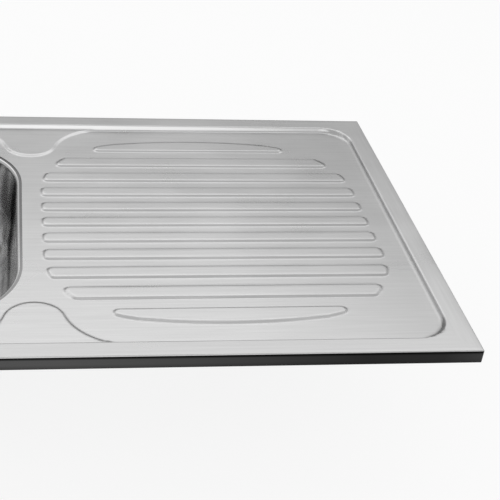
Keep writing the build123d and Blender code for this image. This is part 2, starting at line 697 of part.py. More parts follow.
# The overflow: a domed rose inside the bowl, screwed through the wall to a moulded body behind it.
with BuildPart() as overflow_rose:
    with BuildSketch(overflow_plane()):
        Circle(ROSE_RADIUS)
    extrude(amount=ROSE_DOME, taper=50)
    with BuildSketch(overflow_plane()):
        Circle(ROSE_RADIUS - ROSE_SHEET)
    extrude(amount=ROSE_DOME - ROSE_SHEET, taper=50, mode=Mode.SUBTRACT)
    with BuildSketch(overflow_plane()):
        Circle(ROSE_SCREW)
        with PolarLocations(ROSE_RADIUS * 0.5, ROSE_SLOTS):
            Rectangle(ROSE_SLOT_LENGTH, ROSE_SLOT_WIDTH)
    extrude(amount=ROSE_DOME, mode=Mode.SUBTRACT)

overflow_body_top = SHEET + OVERFLOW_SEAL
with BuildPart() as overflow_screw:
    with BuildSketch(overflow_plane(-ROSE_DOME)):
        Circle(ROSE_SCREW_HEAD)
    extrude(amount=ROSE_SCREW_HEAD_HEIGHT)
    chamfer(overflow_screw.faces().sort_by(Axis.Y)[0].edges(), length=ROSE_SCREW_HEAD_HEIGHT / 3)
    with BuildSketch(overflow_plane(-ROSE_DOME)):
        Circle(ROSE_SCREW)
    extrude(amount=-ROSE_DOME - overflow_body_top - OVERFLOW_FLANGE_THICK)

overflow_seal_part = ring(overflow_plane(overflow_body_top), OVERFLOW_FLANGE, OVERFLOW_HOLE, OVERFLOW_SEAL)
with BuildPart() as overflow_seal:
    add(overflow_seal_part)

cup_hollow = OVERFLOW_CUP - OVERFLOW_CUP_WALL
with BuildPart() as overflow_body:
    with BuildSketch(overflow_plane(overflow_body_top)):
        Circle(OVERFLOW_FLANGE)
    extrude(amount=-OVERFLOW_FLANGE_THICK)
    with BuildSketch(overflow_plane(overflow_body_top)):
        Circle(OVERFLOW_CUP)
    extrude(amount=-OVERFLOW_CUP_DEPTH)
    with BuildSketch(Plane.XY.offset(OVERFLOW_SOCKET_END)):
        with Locations((BOWL_X, PIPE_Y)):
            Circle(SOCKET_OUTER)
    extrude(amount=OVERFLOW_SOCKET - OVERFLOW_CUP / 2)
    with BuildSketch(overflow_plane(overflow_body_top)):
        Circle(cup_hollow)
    extrude(amount=-OVERFLOW_CUP_DEPTH + OVERFLOW_CUP_WALL, mode=Mode.SUBTRACT)
    with BuildSketch(Plane.XY.offset(OVERFLOW_SOCKET_END)):
        with Locations((BOWL_X, PIPE_Y)):
            Circle(SOCKET_RADIUS)
    extrude(amount=OVERFLOW_SOCKET - OVERFLOW_CUP / 2, mode=Mode.SUBTRACT)
    with BuildSketch(overflow_plane(overflow_body_top)):
        Rectangle(2 * cup_hollow + OVERFLOW_CUP_WALL, 2.4 * ROSE_SCREW)
        Circle(1.8 * ROSE_SCREW)
    extrude(amount=-OVERFLOW_FLANGE_THICK)
    with BuildSketch(overflow_plane(overflow_body_top)):
        Circle(ROSE_SCREW)
    extrude(amount=-OVERFLOW_FLANGE_THICK, mode=Mode.SUBTRACT)

# The overflow pipe drops behind the bowl and turns forward to the waste body.
pipe_top = OVERFLOW_SOCKET_END + PIPE_ENTRY
pipe_end = INLET_REACH - PIPE_ENTRY
with BuildPart() as overflow_pipe:
    with BuildLine(Plane.YZ.offset(BOWL_X)) as pipe_path:
        Line((PIPE_Y, pipe_top), (PIPE_Y, INLET_Z + PIPE_BEND))
        RadiusArc((PIPE_Y, INLET_Z + PIPE_BEND), (PIPE_Y - PIPE_BEND, INLET_Z), PIPE_BEND)
        Line((PIPE_Y - PIPE_BEND, INLET_Z), (pipe_end, INLET_Z))
    with BuildSketch(Plane.XY.offset(pipe_top)):
        with Locations((BOWL_X, PIPE_Y)):
            Circle(PIPE_RADIUS)
            Circle(PIPE_RADIUS - PIPE_WALL, mode=Mode.SUBTRACT)
    sweep(path=pipe_path.wire())

socket_mouth_top = Plane(origin=(BOWL_X, PIPE_Y, OVERFLOW_SOCKET_END), x_dir=(1, 0, 0), z_dir=(0, 0, -1))
socket_mouth_bottom = Plane(origin=(BOWL_X, INLET_REACH, INLET_Z), x_dir=(1, 0, 0), z_dir=(0, 1, 0))
nut_top_part = pipe_nut(socket_mouth_top)
nut_bottom_part = pipe_nut(socket_mouth_bottom)
seal_top_part = ring(socket_mouth_top, SOCKET_OUTER, PIPE_RADIUS, PIPE_SEAL)
seal_bottom_part = ring(socket_mouth_bottom, SOCKET_OUTER, PIPE_RADIUS, PIPE_SEAL)
with BuildPart() as pipe_nut_top:
    add(nut_top_part)
with BuildPart() as pipe_nut_bottom:
    add(nut_bottom_part)
with BuildPart() as pipe_seal_top:
    add(seal_top_part)
with BuildPart() as pipe_seal_bottom:
    add(seal_bottom_part)

os.makedirs("parts", exist_ok=True)
pieces = {
    "sink_top": sink_top,
    "bowl": bowl,
    "bowl_pad": bowl_pad,
    "drainer_pad": drainer_pad,
    "drainer_stiffeners": drainer_stiffeners,
    "corner_plates": corner_plates,
    "strainer_cup": strainer_cup,
    "flange_seal": flange_seal,
    "waste_seal": waste_seal,
    "waste_body": waste_body,
    "clamp_screw": clamp_screw,
    "strainer_basket": strainer_basket,
    "basket_stem": basket_stem,
    "stopper_seal": stopper_seal,
    "lift_knob": lift_knob,
    "overflow_rose": overflow_rose,
    "overflow_screw": overflow_screw,
    "overflow_seal": overflow_seal,
    "overflow_body": overflow_body,
    "overflow_pipe": overflow_pipe,
    "pipe_nut_top": pipe_nut_top,
    "pipe_nut_bottom": pipe_nut_bottom,
    "pipe_seal_top": pipe_seal_top,
    "pipe_seal_bottom": pipe_seal_bottom,
}
for name, piece in pieces.items():
    piece.part.label = name
    export_step(piece.part, f"parts/{name}.step")
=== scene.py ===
"""The look of a sit-on kitchen sink with drainboard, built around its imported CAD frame.

Shapes are written in millimetres, which become metres when a mesh is made.
"""

import json
import math
from contextlib import contextmanager

import bmesh
import bpy
import numpy as np
from mathutils import Matrix, Vector


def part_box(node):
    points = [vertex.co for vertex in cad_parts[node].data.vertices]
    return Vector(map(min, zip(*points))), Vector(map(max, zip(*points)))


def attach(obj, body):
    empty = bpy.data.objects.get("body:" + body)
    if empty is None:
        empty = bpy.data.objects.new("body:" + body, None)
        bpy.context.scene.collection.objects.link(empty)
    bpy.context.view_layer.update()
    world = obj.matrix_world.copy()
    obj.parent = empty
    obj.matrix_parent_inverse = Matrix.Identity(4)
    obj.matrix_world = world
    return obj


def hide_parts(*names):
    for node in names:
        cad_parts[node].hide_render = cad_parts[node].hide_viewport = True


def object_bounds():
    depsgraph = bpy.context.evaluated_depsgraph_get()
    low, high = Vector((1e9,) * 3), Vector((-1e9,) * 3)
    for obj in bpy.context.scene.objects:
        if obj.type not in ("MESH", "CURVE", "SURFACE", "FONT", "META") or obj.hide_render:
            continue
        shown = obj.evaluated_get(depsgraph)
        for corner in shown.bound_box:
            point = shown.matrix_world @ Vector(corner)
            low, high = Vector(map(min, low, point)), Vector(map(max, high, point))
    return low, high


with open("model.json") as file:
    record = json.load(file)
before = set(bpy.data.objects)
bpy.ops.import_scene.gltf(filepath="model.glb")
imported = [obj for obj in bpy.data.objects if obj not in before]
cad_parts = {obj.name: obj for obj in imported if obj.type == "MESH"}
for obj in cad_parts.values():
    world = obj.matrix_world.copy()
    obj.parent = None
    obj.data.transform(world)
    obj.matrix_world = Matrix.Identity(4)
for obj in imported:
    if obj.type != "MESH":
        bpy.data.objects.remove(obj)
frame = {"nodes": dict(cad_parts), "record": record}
cad_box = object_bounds()

MM = 0.001
TINY = 1e-6

# --- the pressed top, as in the CAD ----------------------------------------------------
HALF_LENGTH = 500.0
HALF_DEPTH = 300.0
RIM_TOP = 18.0
FLOOR_TOP = 10.0
LANDING_TOP = 12.0
SHEET = 0.8
EDGE_BEND = 1.8
FOOT_BEND = 0.9
RETURN_WIDTH = 18.0
RECESS_HALF_LENGTH = 473.0
RECESS_HALF_DEPTH = 273.0
RECESS_CORNER = 45.0
RECESS_RUN = 3.73
DRAINER_RISE = 2.0
BOWL_X = -230.0
BOWL_HALF_LENGTH = 190.0
BOWL_HALF_WIDTH = 220.0
BOWL_CORNER = 115.0
LANDING_X = -27.05
LANDING_NOSE = 38.0
LANDING_REACH = 85.0
LANDING_FLARE = 80.0
RIB_FIELD_LEFT = -14.1
RIB_FIELD_RIGHT = 438.0
RIB_FIELD_HALF_DEPTH = 232.0
RIB_FIELD_CROWN = 37.0
RIB_FIELD_CORNER = 140.0
RIB_STEPS = 5
RIB_PITCH = 39.3
RIB_PITCH_GROWTH = 0.14
RIB_HALF_WIDTH = 12.0
RIB_HALF_WIDTH_GROWTH = 0.1
RIB_HEIGHT = 2.2
RIB_RUN = 2.44
RIB_CORNER = 8.0
BEYOND_RIBS = 1000.0

# --- the top's soft pressed edges, as the photograph shows them -------------------------
PRESS_SOFTNESS = 2.2
WALL_TOP_SOFTNESS = 2.6
WALL_FOOT_SOFTNESS = 5.0
LANDING_RUN = 1.25
LANDING_BLEND = 0.5
PUCKER_HEIGHT = 0.7
PUCKER_WAVES = 26
PUCKER_ANGLE = 1.08
PUCKER_SPREAD = 0.45
PUCKER_WIDTH = 2.6
PUCKER_WANDER = 1.3
PUCKER_WANDER_WAVES = 9

# --- the top's mesh: grid lines as (start, end, step), close together at the bends -------
X_RUNS = (
    (-475, -466, 0.9),
    (-466, -145, 9),
    (-145, -66, 2.6),
    (-66, 95, 1.5),
    (95, 330, 9),
    (330, 441, 1.8),
    (441, 465, 3),
    (465, 475, 0.9),
)
RIM_STEP = 8
RIM_MIDDLE = 290
SIDE_WALL_RUN = (265, 276, 0.9)
LANDING_Y_RUN = (178, 262, 2.2)
RIB_EDGE_REACH = 2.4
RIB_EDGE_LINES = 7
NARROWEST_GAP = 0.35
WIDEST_GAP = 4.5
SLOPE_PROBE = 0.05
CORNER_STEPS = 5
EDGE_STEPS = 5
FOOT_STEPS = 3
APRON_LEVELS = (12.0, 6.0, FOOT_BEND)
OPENING_CORNER_POINTS = 24
OPENING_SIDE_POINTS = 6
OPENING_TOOL_SPAN = (-30.0, 60.0)
SHARP_ANGLE = 50

# --- the bowl --------------------------------------------------------------------------
BOWL_LIP = 8.0
BOWL_ROLL = 5.0
BOWL_DRAFT = math.tan(math.radians(5.0))
BOWL_LAP = 9.0
BOWL_TOP = FLOOR_TOP - SHEET
BOWL_FLOOR = -140.0
BOWL_FLOOR_RADIUS = 40.0
BOWL_FLOOR_PLACE = (BOWL_X, 100.0, BOWL_FLOOR)
FLANGE_INSETS = (-BOWL_LAP, -4.0, 0.0, BOWL_LIP - BOWL_ROLL - 1.2)
DISH_RADIUS = 61.0
DISH_DROP = 4.0
# The dish's edge as (reach, rise) from its radius and the bowl's floor.
DISH_EDGE = (
    (2.0, 0.0),
    (0.9, -0.25),
    (0.0, -1.1),
    (-1.0, -3.0),
    (-1.8, -3.8),
    (-3.0, -DISH_DROP),
)
WASTE_HOLE = 45.5
ROLL_STEPS = 6
WALL_STEPS = 13
FLOOR_BEND_STEPS = 14
FLOOR_SHARES = (0.25, 0.5, 0.75)
BOWL_CORNER_POINTS = 20
BOWL_SIDE_POINTS = 8

# --- plastic fittings, whose threads and grips the CAD leaves out ------------------------
NUT_RADIUS = 16.4
NUT_BORE = 13.1
NUT_THROAT = 10.3
NUT_FOOT = -10.6
NUT_SHOULDER = 3.0
NUT_END = 5.4
NUT_RIDGE = 1.3
NUT_RIDGES = 24
NUT_RIDGE_POINTS = 6
NUT_RIDGE_FULLNESS = 0.6
# Each point of the nut's section is its radius, its height and its share of the ridges.
NUT_SECTION = (
    (NUT_BORE, NUT_FOOT, 0),
    (NUT_RADIUS - 1.2, NUT_FOOT, 0),
    (NUT_RADIUS, NUT_FOOT + 0.8, 0.2),
    (NUT_RADIUS, NUT_FOOT + 1.8, 1),
    (NUT_RADIUS, NUT_END - 3.0, 1),
    (NUT_RADIUS, NUT_END - 1.9, 0.2),
    (NUT_RADIUS - 0.5, NUT_END - 0.5, 0),
    (NUT_RADIUS - 1.5, NUT_END, 0),
    (NUT_THROAT, NUT_END, 0),
    (NUT_THROAT, NUT_SHOULDER, 0),
    (NUT_BORE, NUT_SHOULDER, 0),
)
NUT_SHARP_ANGLE = 40
TAIL_RADIUS = 23.9
TAIL_FOOT = -235.5
TAIL_THREAD_TOP = -205.0
THREAD_PITCH = 3.0
THREAD_DEPTH = 1.0
THREAD_ROOT = 0.3
THREAD_ROOT_HALF = 1.2
THREAD_CREST_HALF = 0.35
THREAD_STEPS = 60
THREAD_RUN_OUT = 15
THREAD_SHARP_ANGLE = 30


# --- distances and heights -------------------------------------------------------------
def soft_knee(s, width):
    """0 while s is negative and s after that, with the corner rounded over width."""
    half = width / 2
    return np.where(s < -half, 0.0, np.where(s > half, s, (s + half) ** 2 / (2 * width)))


def soft_ramp(s, run, start=PRESS_SOFTNESS, end=PRESS_SOFTNESS):
    """A 0-to-1 ramp over run, with its two corners rounded over start and end."""
    return (soft_knee(s, start) - soft_knee(s - run, end)) / run


def soft_max(a, b, blend):
    """The larger of a and b, with the crease between them filled."""
    share = np.clip(0.5 + (a - b) / (2 * blend), 0, 1)
    return b + (a - b) * share + blend * share * (1 - share)


def rounded_rectangle(x, y, half_x, half_y, corner):
    """Signed distance to a rounded rectangle, negative inside."""
    qx = np.abs(x) - half_x + corner
    qy = np.abs(y) - half_y + corner
    outside = np.hypot(np.maximum(qx, 0), np.maximum(qy, 0))
    return outside + np.minimum(np.maximum(qx, qy), 0) - corner


def landing_distance(x, y):
    """Signed distance to the nearer landing's outline, negative inside."""
    px = np.abs(x - LANDING_X)
    py = np.abs(y)
    wall = RECESS_HALF_DEPTH - RECESS_RUN
    nose_y = wall - (LANDING_REACH - LANDING_NOSE)
    flare_y = wall - LANDING_FLARE
    flare_x = math.sqrt((LANDING_NOSE + LANDING_FLARE) ** 2 - (flare_y - nose_y) ** 2)
    side = px * (flare_y - nose_y) - (py - nose_y) * flare_x
    nose = np.hypot(px, py - nose_y) - LANDING_NOSE
    flare = LANDING_FLARE - np.hypot(px - flare_x, py - flare_y)
    beyond = wall - py
    return np.where(px > flare_x, beyond, np.where(side > 0, nose, flare))


def oval_distance(x, y):
    """Signed distance to the oval that the ribs end on, negative inside."""
    half_x = (RIB_FIELD_RIGHT - RIB_FIELD_LEFT) / 2
    px = np.abs(x - (RIB_FIELD_RIGHT + RIB_FIELD_LEFT) / 2)
    py = np.abs(y)
    crown = (half_x**2 + RIB_FIELD_CROWN**2) / (2 * RIB_FIELD_CROWN)
    centre_x = half_x - RIB_FIELD_CORNER
    crown_y = RIB_FIELD_HALF_DEPTH - crown
    centre_y = crown_y + math.sqrt((crown - RIB_FIELD_CORNER) ** 2 - centre_x**2)
    straight = px - half_x
    corner = np.hypot(px - centre_x, py - centre_y) - RIB_FIELD_CORNER
    crowned = np.hypot(px, py - crown_y) - crown
    right_of_line = px * (centre_y - crown_y) > (py - crown_y) * centre_x
    return np.where(py <= centre_y, straight, np.where(right_of_line, corner, crowned))


def overlap_distance(a, b, cosine):
    """Signed distance to where two outlines overlap, whose outward directions meet at an
    angle of that cosine."""
    beyond = (a > cosine * b) & (b > cosine * a) & (np.maximum(a, b) > 0)
    across = (a * a + b * b - 2 * cosine * a * b) / np.maximum(1 - cosine * cosine, TINY)
    return np.where(beyond, np.sqrt(np.maximum(across, 0)), np.maximum(a, b))


def rib_band(step):
    """Middle and half width of one rib. Ribs widen and spread away from the middle."""
    middle = RIB_PITCH * step + RIB_PITCH_GROWTH * step**3
    return middle, RIB_HALF_WIDTH + RIB_HALF_WIDTH_GROWTH * step**2


def rib_height(x, y):
    """How far the ribs stand above the drainer's floor."""
    ends = oval_distance(x, y)
    change = oval_distance(x, y + SLOPE_PROBE) - oval_distance(x, y - SLOPE_PROBE)
    lean = change / (2 * SLOPE_PROBE)
    height = np.zeros_like(x)
    for step in range(-RIB_STEPS, RIB_STEPS + 1):
        middle, half = rib_band(step)
        sides = np.abs(y - middle) - half
        away = np.sign(y - middle)
        if abs(step) == RIB_STEPS:
            # The outermost ribs have one straight side, and end on the oval itself.
            same_side = np.sign(y) == np.sign(step)
            sides = np.where(same_side, abs(middle) - half - np.abs(y), BEYOND_RIBS)
            away = -np.sign(y)
        inner = overlap_distance(ends + RIB_CORNER, sides + RIB_CORNER, lean * away)
        height = np.maximum(height, RIB_HEIGHT * soft_ramp(RIB_CORNER - inner, RIB_RUN))
    return height


def pucker(x, y, recess):
    """Small waves where the sheet gathers on the wall at the recess's corners."""
    along_x = x - RECESS_HALF_LENGTH + RECESS_CORNER
    angle = np.arctan2(np.abs(y) - RECESS_HALF_DEPTH + RECESS_CORNER, along_x)
    around = np.clip(1 - np.abs(angle - PUCKER_ANGLE) / PUCKER_SPREAD, 0, 1)
    across = np.exp(-(((recess + RECESS_RUN / 2) / PUCKER_WIDTH) ** 2))
    waves = np.sin(PUCKER_WAVES * angle + PUCKER_WANDER * np.sin(PUCKER_WANDER_WAVES * angle))
    return PUCKER_HEIGHT * around * across * waves


def top_height(x, y):
    """Height of the pressed top's upper side."""
    slope = DRAINER_RISE / (RECESS_HALF_LENGTH - RIB_FIELD_LEFT)
    floor = FLOOR_TOP + np.maximum(x - RIB_FIELD_LEFT, 0) * slope
    recess = rounded_rectangle(x, y, RECESS_HALF_LENGTH, RECESS_HALF_DEPTH, RECESS_CORNER)
    sunk = soft_ramp(-recess, RECESS_RUN, WALL_TOP_SOFTNESS, WALL_FOOT_SOFTNESS)
    wall = np.minimum(RIM_TOP + (floor - RIM_TOP) * sunk + pucker(x, y, recess), RIM_TOP)
    raised = soft_ramp(-landing_distance(x, y), LANDING_RUN)
    landing = FLOOR_TOP + (LANDING_TOP - FLOOR_TOP) * raised
    return soft_max(wall + rib_height(x, y), landing, LANDING_BLEND)


# --- mesh tools ------------------------------------------------------------------------
def mesh_object(name, points, faces, smooth=True):
    """A mesh object from millimetre points."""
    mesh = bpy.data.meshes.new(name)
    mesh.from_pydata([tuple(p) for p in np.asarray(points) * MM], [], faces)
    mesh.validate()
    if smooth:
        mesh.polygons.foreach_set("use_smooth", [True] * len(mesh.polygons))
    mesh.update()
    obj = bpy.data.objects.new(name, mesh)
    bpy.context.scene.collection.objects.link(obj)
    return obj


@contextmanager
def editing(obj):
    """An object's mesh, open for editing and written back at the end."""
    bm = bmesh.new()
    bm.from_mesh(obj.data)
    yield bm
    bm.to_mesh(obj.data)
    bm.free()


def sharpen(obj, degrees):
    """Smooth shading, with edges steeper than degrees kept sharp."""
    limit = math.radians(degrees)
    with editing(obj) as bm:
        for face in bm.faces:
            face.smooth = True
        for edge in bm.edges:
            edge.smooth = len(edge.link_faces) == 2 and edge.calc_face_angle() < limit


def turn_outward(obj):
    """Makes every face of a closed mesh face outward."""
    with editing(obj) as bm:
        bmesh.ops.recalc_face_normals(bm, faces=bm.faces)


def turn_up_at(obj, place):
    """Makes the faces of an open sheet agree, with the one nearest to place facing up."""
    place = Vector(place) * MM
    with editing(obj) as bm:
        bmesh.ops.recalc_face_normals(bm, faces=bm.faces)
        nearest = min(bm.faces, key=lambda face: (face.calc_center_median() - place).length)
        if nearest.normal.z < 0:
            bmesh.ops.reverse_faces(bm, faces=bm.faces)


def apply_modifiers(obj):
    """Makes the modifiers' result the object's own mesh."""
    graph = bpy.context.evaluated_depsgraph_get()
    mesh = bpy.data.meshes.new_from_object(obj.evaluated_get(graph))
    obj.modifiers.clear()
    obj.data = mesh


def thicken(obj, thickness):
    """Gives an open sheet its thickness, away from its shown side."""
    modifier = obj.modifiers.new("sheet", "SOLIDIFY")
    modifier.thickness = thickness * MM
    modifier.offset = -1
    modifier.use_even_offset = False
    apply_modifiers(obj)


def cut(obj, tool):
    """Takes the tool's shape out of the object, and the tool out of the scene."""
    modifier = obj.modifiers.new("cut", "BOOLEAN")
    modifier.operation = "DIFFERENCE"
    modifier.solver = "EXACT"
    modifier.object = tool
    apply_modifiers(obj)
    bpy.data.objects.remove(tool, do_unlink=True)


def rounded_ring(half_x, half_y, corner, per_corner, per_side, centre_x=0.0):
    """Points round a rounded rectangle, anticlockwise from its right side."""
    arcs = []
    for quarter, (sx, sy) in enumerate(((1, 1), (-1, 1), (-1, -1), (1, -1))):
        arc = []
        for i in range(per_corner + 1):
            angle = math.radians(90 * quarter + 90 * i / per_corner)
            x = centre_x + sx * (half_x - corner) + corner * math.cos(angle)
            arc.append((x, sy * (half_y - corner) + corner * math.sin(angle)))
        arcs.append(arc)
    points = []
    for arc, following in zip(arcs, arcs[1:] + arcs[:1]):
        points += arc
        start = arc[-1]
        end = following[0]
        for i in range(1, per_side):
            share = i / per_side
            x = start[0] + (end[0] - start[0]) * share
            points.append((x, start[1] + (end[1] - start[1]) * share))
    return np.array(points)


def ring_faces(rows, count, closed=False):
    """Quads between rows of count points each, and from the last row to the first if closed."""
    faces = []
    for row in range(rows if closed else rows - 1):
        below = (row + 1) % rows
        for k in range(count):
            n = (k + 1) % count
            faces.append((row * count + k, below * count + k, below * count + n, row * count + n))
    return faces


def prism(name, ring, low, high):
    """A closed upright prism on a ring of points."""
    count = len(ring)
    points = [(x, y, low) for x, y in ring] + [(x, y, high) for x, y in ring]
    faces = [(i, (i + 1) % count, count + (i + 1) % count, count + i) for i in range(count)]
    faces += [tuple(reversed(range(count))), tuple(range(count, 2 * count))]
    return mesh_object(name, points, faces, smooth=False)


# --- the top ---------------------------------------------------------------------------
def graded(*runs):
    """Grid lines from (start, end, step) runs, which follow on from one another."""
    lines = [runs[0][0]]
    for start, end, step in runs:
        count = max(1, round((end - start) / step))
        lines += list(np.linspace(start, end, count + 1)[1:])
    return np.array(lines)


def rib_lines():
    """Grid lines across the ribs, close together on their sloping sides."""
    edges = []
    for step in range(-RIB_STEPS, RIB_STEPS + 1):
        middle, half = rib_band(step)
        edges += [middle - half + RIB_RUN / 2, middle + half - RIB_RUN / 2]
    near = np.linspace(-RIB_EDGE_REACH, RIB_EDGE_REACH, RIB_EDGE_LINES)
    lines = set()
    for edge in edges[1:-1]:
        lines.update(np.round(edge + near, 3))
    return sorted(lines)


def fill_gaps(lines, narrowest, widest):
    """Adds lines so that no gap is wider than widest, and drops lines that crowd."""
    kept = [lines[0]]
    for value in lines[1:]:
        gap = value - kept[-1]
        if gap < narrowest:
            continue
        count = math.ceil(gap / widest - TINY)
        kept += [kept[-1] + gap * (i + 1) / count for i in range(count)]
    return np.array(kept)


def top_grid():
    """Points and faces of the top's upper side, and its number of lines along X and Y."""
    inner_x = HALF_LENGTH - EDGE_BEND
    inner_y = HALF_DEPTH - EDGE_BEND
    left_rim = (-inner_x, X_RUNS[0][0], RIM_STEP)
    right_rim = (X_RUNS[-1][1], inner_x, RIM_STEP)
    xs = graded(left_rim, *X_RUNS, right_rim)
    ys = [-inner_y, inner_y, -RIM_MIDDLE, RIM_MIDDLE]
    for side in (-1, 1):
        ys += list(side * np.arange(*SIDE_WALL_RUN))
        ys += list(side * np.arange(*LANDING_Y_RUN))
    ys = fill_gaps(sorted(ys + rib_lines()), NARROWEST_GAP, WIDEST_GAP)
    gx, gy = np.meshgrid(xs, ys, indexing="ij")
    points = np.stack([gx, gy, top_height(gx, gy)], -1).reshape(-1, 3).tolist()
    nx = len(xs)
    ny = len(ys)
    faces = []
    for i in range(nx - 1):
        for j in range(ny - 1):
            a = i * ny + j
            faces.append((a, a + ny, a + ny + 1, a + 1))
    return points, faces, nx, ny


def grid_border(nx, ny):
    """The grid's border points anticlockwise, each with its way out. Corner points fan out."""
    loop = [(i * ny, (0, -1)) for i in range(nx - 1)]
    loop += [((nx - 1) * ny + j, (1, 0)) for j in range(ny - 1)]
    loop += [(i * ny + ny - 1, (0, 1)) for i in range(nx - 1, 0, -1)]
    loop += [(j, (-1, 0)) for j in range(ny - 1, 0, -1)]
    border = []
    for k, (index, direction) in enumerate(loop):
        before = loop[k - 1][1]
        if before != direction:
            start = math.atan2(before[1], before[0])
            for n in range(CORNER_STEPS):
                angle = start + math.pi / 2 * n / CORNER_STEPS
                border.append((index, (math.cos(angle), math.sin(angle))))
        border.append((index, direction))
    return border


def apron_profile():
    """The apron's section as (reach, height), from the bend at its top to the one at its foot."""
    profile = []
    for n in range(1, EDGE_STEPS + 1):
        angle = math.pi / 2 * n / EDGE_STEPS
        height = RIM_TOP - EDGE_BEND * (1 - math.cos(angle))
        profile.append((EDGE_BEND * math.sin(angle), height))
    profile += [(EDGE_BEND, height) for height in APRON_LEVELS]
    for n in range(1, FOOT_STEPS + 1):
        angle = math.pi / 2 * n / FOOT_STEPS
        reach = EDGE_BEND - FOOT_BEND * (1 - math.cos(angle))
        profile.append((reach, FOOT_BEND * (1 - math.sin(angle))))
    return profile


def fold_apron(points, faces, border):
    """Adds the apron and its turned-in return to the top's points and faces."""
    rows = [[index for index, _ in border]]
    for reach, height in apron_profile():
        row = []
        for index, (dx, dy) in border:
            x, y, _ = points[index]
            row.append(len(points))
            points.append([x + dx * reach, y + dy * reach, height])
        rows.append(row)
    limit_x = HALF_LENGTH - RETURN_WIDTH
    limit_y = HALF_DEPTH - RETURN_WIDTH
    row = []
    for index, _ in border:
        x, y, _ = points[index]
        row.append(len(points))
        points.append([min(max(x, -limit_x), limit_x), min(max(y, -limit_y), limit_y), 0.0])
    rows.append(row)
    for upper, lower in zip(rows, rows[1:]):
        for k in range(len(border)):
            n = (k + 1) % len(border)
            if upper[k] == upper[n]:
                faces.append((upper[k], lower[k], lower[n]))
            else:
                faces.append((upper[k], lower[k], lower[n], upper[n]))


def make_top():
    """The pressed top: a graded grid over its height, with its edge folded into the apron."""
    points, faces, nx, ny = top_grid()
    fold_apron(points, faces, grid_border(nx, ny))
    top = mesh_object("top_sheet", points, faces)
    with editing(top) as bm:
        bmesh.ops.remove_doubles(bm, verts=bm.verts, dist=TINY)
    turn_outward(top)
    thicken(top, SHEET)
    opening = rounded_ring(
        BOWL_HALF_LENGTH,
        BOWL_HALF_WIDTH,
        BOWL_CORNER,
        OPENING_CORNER_POINTS,
        OPENING_SIDE_POINTS,
        BOWL_X,
    )
    cut(top, prism("opening_tool", opening, *OPENING_TOOL_SPAN))
    sharpen(top, SHARP_ANGLE)
    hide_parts("sink_top")
    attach(top, "sink")
    return top


# --- the bowl --------------------------------------------------------------------------
def bowl_section():
    """The bowl's section as (inset, height), from its flange over the rolled lip, down the
    wall and round the bend to the floor."""
    section = [(inset, BOWL_TOP) for inset in FLANGE_INSETS]
    tilt = math.atan(BOWL_DRAFT)
    bend = math.pi / 2 - tilt
    roll_start = BOWL_LIP - BOWL_ROLL * math.tan(bend / 2)
    for n in range(ROLL_STEPS + 1):
        angle = bend * n / ROLL_STEPS
        height = BOWL_TOP - BOWL_ROLL * (1 - math.cos(angle))
        section.append((roll_start + BOWL_ROLL * math.sin(angle), height))
    foot_inset = BOWL_LIP + (BOWL_TOP - BOWL_FLOOR) * BOWL_DRAFT
    tangent = BOWL_FLOOR_RADIUS * math.tan(bend / 2)
    top_inset, top_level = section[-1]
    end_inset = foot_inset - tangent * math.sin(tilt)
    end_level = BOWL_FLOOR + tangent * math.cos(tilt)
    for n in range(1, WALL_STEPS):
        share = n / WALL_STEPS
        inset = top_inset + (end_inset - top_inset) * share
        section.append((inset, top_level + (end_level - top_level) * share))
    for n in range(FLOOR_BEND_STEPS + 1):
        angle = math.pi + tilt + bend * n / FLOOR_BEND_STEPS
        inset = foot_inset + tangent + BOWL_FLOOR_RADIUS * math.cos(angle)
        section.append((inset, BOWL_FLOOR + BOWL_FLOOR_RADIUS * (1 + math.sin(angle))))
    return section


def bowl_rings():
    """Rings of points down the bowl, which turn round over the floor to meet the waste hole."""
    rings = []
    for inset, height in bowl_section():
        half_x = BOWL_HALF_LENGTH - inset
        half_y = BOWL_HALF_WIDTH - inset
        corner = BOWL_CORNER - inset
        ring = rounded_ring(half_x, half_y, corner, BOWL_CORNER_POINTS, BOWL_SIDE_POINTS, BOWL_X)
        rings.append(np.column_stack([ring, np.full(len(ring), height)]))
    edge = rings[-1]
    angles = np.arctan2(edge[:, 1], edge[:, 0] - BOWL_X)

    def round_ring(radius, height):
        """A level circle, with its points in line with the edge's."""
        x = BOWL_X + np.cos(angles) * radius
        return np.column_stack([x, np.sin(angles) * radius, np.full(len(angles), height)])

    dish_ring = round_ring(DISH_RADIUS + DISH_EDGE[0][0], BOWL_FLOOR)
    rings += [edge + (dish_ring - edge) * share for share in FLOOR_SHARES]
    rings += [round_ring(DISH_RADIUS + reach, BOWL_FLOOR + rise) for reach, rise in DISH_EDGE]
    rings.append(round_ring(WASTE_HOLE, BOWL_FLOOR - DISH_DROP))
    return rings


def make_bowl():
    """The bowl, as a sheet over its rings."""
    rings = bowl_rings()
    bowl = mesh_object("bowl_shell", np.concatenate(rings), ring_faces(len(rings), len(rings[0])))
    turn_up_at(bowl, BOWL_FLOOR_PLACE)
    thicken(bowl, SHEET)
    sharpen(bowl, SHARP_ANGLE)
    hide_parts("bowl")
    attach(bowl, "sink")
    return bowl


